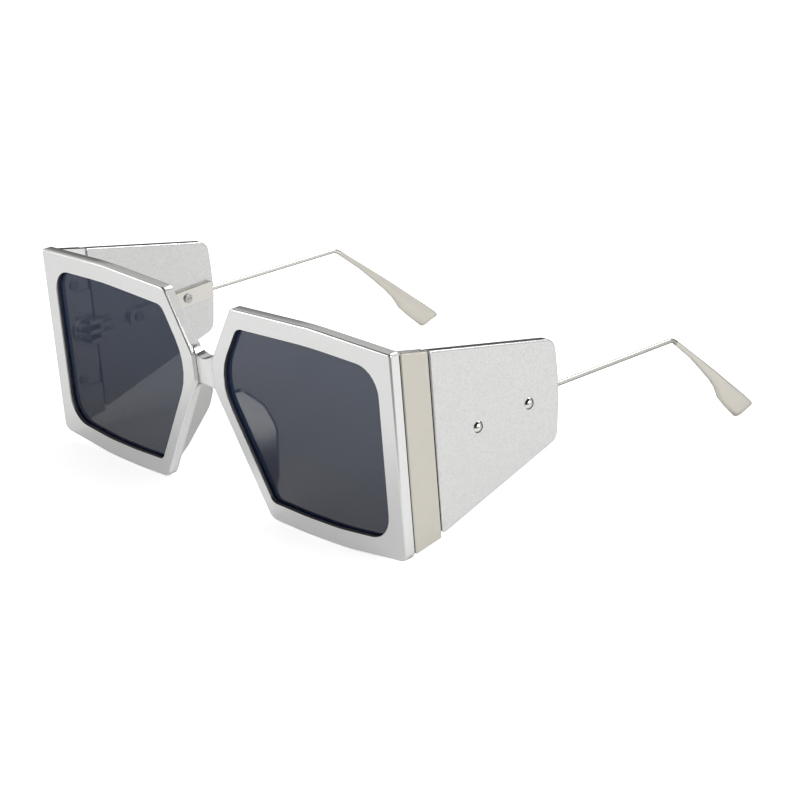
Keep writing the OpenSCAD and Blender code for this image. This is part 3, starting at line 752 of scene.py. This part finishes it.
@dataclass
class SideWork:
    """What sits at one end of the front: trim strip, hinge, panel and their screws."""

    finishes: FinishSet
    side: Side
    seam_reach: float = 2.0 * MM
    seam_facing: float = 0.97
    strip_edge: float = 0.12 * MM
    leaf_edge: float = 0.08 * MM
    screw_edge: float = 0.04 * MM
    small_screw_edge: float = 0.03 * MM

    def part(self, base: str, name: str, body: Body, slot: str, material: bpy.types.Material,
             edge: float, segments: int = 2, angle: float = 50.0) -> bpy.types.Object:
        """Finish one CAD node of this side.

        Args:
            base: the node's name without its side.
            name: the piece's name without its side.
            body: the body that it rides on.
            slot: the record's material slot.
            material: its finish.
            edge: width of its broken edges in metres, or 0.
            segments: steps of the broken edges.
            angle: least turn of an edge that is broken, in degrees.

        Returns:
            The finished piece.
        """
        piece = Bench.copy_node(f"{base}_{self.side.value}", f"{name}_{self.side.value}")
        if edge:
            Bench.break_edges(piece, edge, angle, segments)
        Bench.soften(piece)
        return Bench.dress(piece, body, slot, material)

    def seamed(self, base: str, name: str, body: Body, slot: str, material: bpy.types.Material,
               edge: float) -> bpy.types.Object:
        """Finish a CAD node whose end faces stand in a seam and get the dark wall colour as painted shade.

        Args:
            base: the node's name without its side.
            name: the piece's name without its side.
            body: the body that it rides on.
            slot: the record's material slot.
            material: its finish.
            edge: width of its broken edges in metres, or 0.

        Returns:
            The finished piece.
        """
        piece = self.part(base, name, body, slot, material, edge)
        piece.data.materials.append(self.finishes.wall)
        # The seam's end faces take the dark wall colour as painted shade.
        front_end = min(v.co.y for v in piece.data.vertices) + self.seam_reach
        ends = Bench.paint(
            piece, 1, lambda face: face.normal.y < -self.seam_facing and face.center.y < front_end)
        LOG.info("%s: %d faces in the seam", piece.name, ends)
        return piece

    def build(self) -> list[bpy.types.Object]:
        """Build every piece of this end.

        Returns:
            The finished pieces.
        """
        kit, front, arm = self.finishes, Body.FRONT, Body.arm(self.side)
        screw, small = self.screw_edge, self.small_screw_edge
        return [
            self.seamed("trim_strip", "champagne_strip", front, "trim_metal", kit.strip, self.strip_edge),
            self.part("strip_screws", "strip_screw_pair", front, "screw_steel", kit.screw, screw),
            self.part("hinge_front_leaf", "front_leaf", front, "hinge_metal", kit.hinge, self.leaf_edge),
            self.part("front_leaf_screws", "front_leaf_screw_pair", front, "screw_steel", kit.screw, small),
            self.part("hinge_screw", "knuckle_screw", front, "screw_steel", kit.screw, small),
            self.part("hinge_rear_leaf", "rear_leaf", arm, "hinge_metal", kit.hinge, self.leaf_edge),
            self.part("rear_leaf_screws", "rear_leaf_screw_pair", arm, "screw_steel", kit.screw, small),
            self.seamed("side_panel", "silver_panel", arm, "panel_plastic", kit.panel, 0.0),
        ]


@dataclass
class Arm:
    """One arm: riveted plate, wire, rivets and ear tip."""

    finishes: FinishSet
    side: Side
    bar_edge: float = 0.18 * MM
    ring_reach: float = 1.5 * MM
    ring_bore: float = 0.6 * MM
    neck_share: float = 0.83
    tip_turn: float = 50.0

    def build(self) -> list[bpy.types.Object]:
        """Build every piece of the arm.

        Returns:
            The finished pieces.
        """
        ends = SideWork(self.finishes, self.side)
        kit, body = self.finishes, Body.arm(self.side)
        return [
            ends.part("arm_plate", "arm_bar", body, "arm_metal", kit.hinge, self.bar_edge, 3),
            ends.part("dome_rivets", "dome_rivet_pair", body, "rivet_metal", kit.chrome, 0.0),
            ends.part("rivet_screws", "rivet_screw_pair", body, "screw_steel", kit.screw, ends.screw_edge),
            ends.part("arm_wire", "bent_wire", body, "arm_metal", kit.wire, 0.0),
            self.ear_tip(body),
        ]

    def ear_tip(self, body: Body) -> bpy.types.Object:
        """Build the moulded ear tip.

        Args:
            body: the arm's body.

        Returns:
            The finished tip.
        """
        piece = Bench.copy_node(f"ear_tip_{self.side.value}", f"paddle_tip_{self.side.value}")
        self.taper_neck(piece)
        Bench.soften(piece, self.tip_turn)
        return Bench.dress(piece, body, "tip_plastic", self.finishes.tip)

    def taper_neck(self, piece: bpy.types.Object) -> None:
        """Draw the neck's end in, so that it runs on from the wire.

        Args:
            piece: the ear tip.
        """
        top = max(v.co.z for v in piece.data.vertices)
        ring = [v for v in piece.data.vertices if v.co.z > top - self.ring_reach]
        middle = sum((v.co for v in ring), Vector()) / len(ring)
        for vertex in ring:
            spoke = vertex.co - middle
            if spoke.length > self.ring_bore:
                vertex.co = middle + spoke * self.neck_share


@dataclass(frozen=True)
class DarkZone:
    """A part of the studio that is dark in reflections alone, past a point along one way."""

    way: tuple[float, float, float]
    start: float
    end: float


@dataclass(frozen=True)
class SoftLamp:
    """A square lamp that looks at the sunglasses."""

    name: str
    place: tuple[float, float, float]
    size: float
    watts: float
    in_gloss: bool = True

    def hang(self, target: Vector) -> None:
        """Hang the lamp.

        Args:
            target: the point that it looks at.
        """
        data = bpy.data.lights.new(self.name, "AREA")
        data.shape = "SQUARE"
        data.size = self.size
        data.energy = self.watts
        lamp = bpy.data.objects.new(self.name, data)
        bpy.context.scene.collection.objects.link(lamp)
        place = Vector(self.place)
        turn = (target - place).to_track_quat("-Z", "Y").to_matrix().to_4x4()
        lamp.matrix_world = Matrix.Translation(place) @ turn
        lamp.visible_glossy = self.in_gloss


@dataclass
class Studio:
    """Camera, lamps, world and floor."""

    azimuth: float = 49.03
    height_angle: float = 20.03
    roll: float = -3.51
    focal_px: float = 2370.0
    image_px: float = 800.0
    sensor_mm: float = 36.0
    near_clip: float = 10.0 * MM
    place: Vector = field(default_factory=lambda: Vector((479.8 * MM, -350.7 * MM + SOURCE_ZERO, 240.9 * MM)))
    target: Vector = field(default_factory=lambda: Vector((0.0, 0.0, 30.0 * MM)))
    zenith: float = 0.45
    zenith_ramp: tuple[float, float] = (0.25, 0.95)
    flag_level: float = 0.04
    flags: tuple[DarkZone, ...] = (
        DarkZone((0.0, -0.35, 0.94), 0.55, 0.66),
        DarkZone((0.46, -0.87, 0.2), 0.78, 0.88),
        DarkZone((-0.76, 0.65, 0.0), 0.94, 0.975),
    )
    floor_reach: float = 6.0
    floor_tone: tuple[float, float, float] = (0.9, 0.9, 0.9)
    floor_glow: float = 0.48
    floor_dark: tuple[float, float, float] = (0.2, 0.2, 0.2)
    floor_zones: tuple[DarkZone, ...] = (
        DarkZone((0.0, 1.0, 0.0), 0.18, 0.3),
        DarkZone((0.6, -0.8, 0.0), 0.14, 0.19),
    )
    lamps: tuple[SoftLamp, ...] = (
        SoftLamp("key_soft", (-0.15, -0.9, 0.55), 0.5, 2.5, in_gloss=False),
        SoftLamp("side_soft", (0.95, 0.1, 0.45), 0.45, 3.0),
        SoftLamp("back_soft", (-0.05, 0.85, 1.0), 0.6, 6.5),
        SoftLamp("edge_soft", (-0.91, -0.89, 0.2), 0.4, 1.3),
    )

    def build(self) -> None:
        """Set up the whole studio."""
        self.set_camera()
        self.lay_floor()
        self.light_room()
        for lamp in self.lamps:
            lamp.hang(self.target)
        bpy.context.scene.view_settings.view_transform = "Standard"
        LOG.info("studio: camera, floor, world and %d lamps", len(self.lamps))

    def set_camera(self) -> None:
        """Set the camera at the photograph's angle."""
        a, e, r = (math.radians(v) for v in (self.azimuth, self.height_angle, self.roll))
        ahead = Vector((-math.sin(a) * math.cos(e), math.cos(a) * math.cos(e), -math.sin(e)))
        right = ahead.cross(Vector((0, 0, 1))).normalized()
        up = right.cross(ahead)
        turned_right = right * math.cos(r) + up * math.sin(r)
        turned_up = up * math.cos(r) - right * math.sin(r)
        data = bpy.data.cameras.new("photo_camera")
        data.sensor_fit = "HORIZONTAL"
        data.sensor_width = self.sensor_mm
        data.lens = self.focal_px / self.image_px * self.sensor_mm
        data.clip_start = self.near_clip
        camera = bpy.data.objects.new("photo_camera", data)
        bpy.context.scene.collection.objects.link(camera)
        turn = Matrix((turned_right, turned_up, -ahead)).transposed().to_4x4()
        camera.matrix_world = Matrix.Translation(self.place) @ turn
        bpy.context.scene.camera = camera

    def lay_floor(self) -> None:
        """Lay the pale floor, lifted to white for the eye and darker far off in reflections."""
        bpy.ops.object.select_all(action="DESELECT")
        bpy.ops.mesh.primitive_plane_add(size=2 * self.floor_reach)
        plane = bpy.context.object
        plane.name = plane.data.name = "floor"
        desk = NodeDesk("pale_floor")
        path = desk.add("ShaderNodeLightPath")
        shares = [self.zone_share(desk, desk.coords.outputs["Object"], zone) for zone in self.floor_zones]
        far = desk.add("ShaderNodeMath", dict(enumerate(shares)), operation="MAXIMUM")
        mirrored = desk.add(
            "ShaderNodeMath", {0: far.outputs[0], 1: path.outputs["Is Glossy Ray"]}, operation="MULTIPLY")
        tone = desk.blend(mirrored.outputs[0], self.floor_tone, self.floor_dark)
        matte = desk.add("ShaderNodeBsdfDiffuse", {"Color": tone})
        lift = desk.span(path.outputs["Is Camera Ray"], 0.0, self.floor_glow)
        glow = desk.add("ShaderNodeEmission", {"Strength": lift})
        desk.close(desk.add("ShaderNodeAddShader", {0: matte.outputs[0], 1: glow.outputs[0]}))
        plane.data.materials.append(desk.material)

    def light_room(self) -> None:
        """Make the world white to the eye and through glass, and softly graded with flags to the rest."""
        desk = RoomDesk("soft_room")
        path = desk.add("ShaderNodeLightPath")
        around = desk.coords.outputs["Generated"]
        height = desk.add("ShaderNodeSeparateXYZ", {0: around})
        level = self.ramp(desk, height.outputs["Z"], self.zenith_ramp, (1.0, self.zenith))
        for zone in self.flags:
            toward = self.along(desk, around, Vector(zone.way).normalized())
            shade = self.ramp(desk, toward, (zone.start, zone.end), (1.0, self.flag_level))
            flagged = desk.add("ShaderNodeMix", {0: path.outputs["Is Glossy Ray"], 3: shade}, A=1.0)
            dimmed = desk.add("ShaderNodeMath", {0: level, 1: flagged.outputs[0]}, operation="MULTIPLY")
            level = dimmed.outputs[0]
        seen = desk.add(
            "ShaderNodeMath", {0: path.outputs["Is Camera Ray"], 1: path.outputs["Is Transmission Ray"]},
            operation="MAXIMUM")
        room = desk.add("ShaderNodeBackground", {"Strength": level})
        white = desk.add("ShaderNodeBackground", Color=(1.0, 1.0, 1.0, 1.0))
        both = {0: seen.outputs[0], 1: room.outputs[0], 2: white.outputs[0]}
        desk.close(desk.add("ShaderNodeMixShader", both))

    @staticmethod
    def along(desk: NodeDesk, vector: bpy.types.NodeSocket, way: Vector) -> bpy.types.NodeSocket:
        """Measure a vector along one way.

        Args:
            desk: the nodes' desk.
            vector: the vector's socket.
            way: the way.

        Returns:
            The length along the way.
        """
        node = desk.add("ShaderNodeVectorMath", {0: vector}, operation="DOT_PRODUCT")
        node.inputs[1].default_value = way
        return node.outputs["Value"]

    @staticmethod
    def ramp(desk: NodeDesk, value: bpy.types.NodeSocket, reach: tuple[float, float],
             levels: tuple[float, float]) -> bpy.types.NodeSocket:
        """Grade smoothly from one level to another.

        Args:
            desk: the nodes' desk.
            value: the value's socket.
            reach: values where the grade begins and ends.
            levels: levels at its beginning and its end.

        Returns:
            The level.
        """
        node = desk.add("ShaderNodeMapRange", {0: value}, interpolation_type="SMOOTHSTEP")
        for name, number in zip(("From Min", "From Max", "To Min", "To Max"), (*reach, *levels)):
            node.inputs[name].default_value = number
        return node.outputs[0]

    @staticmethod
    def zone_share(desk: NodeDesk, point: bpy.types.NodeSocket, zone: DarkZone) -> bpy.types.NodeSocket:
        """How far a point of the floor lies in a dark zone, from 0 to 1.

        Args:
            desk: the nodes' desk.
            point: the point's socket.
            zone: the zone.

        Returns:
            The share.
        """
        node = desk.add("ShaderNodeMapRange", {0: Studio.along(desk, point, Vector(zone.way))})
        node.inputs["From Min"].default_value = zone.start
        node.inputs["From Max"].default_value = zone.end
        return node.outputs[0]


def main() -> None:
    """Build the sunglasses and the studio, in order."""
    logging.basicConfig(level=logging.INFO, format="%(name)s %(message)s")
    finishes = FinishSet()
    FrontMoulding(finishes).build()
    for side in Side:
        Lenses(finishes).build(side)
        SideWork(finishes, side).build()
        Arm(finishes, side).build()
    Studio().build()


if __name__ == "__main__":
    main()
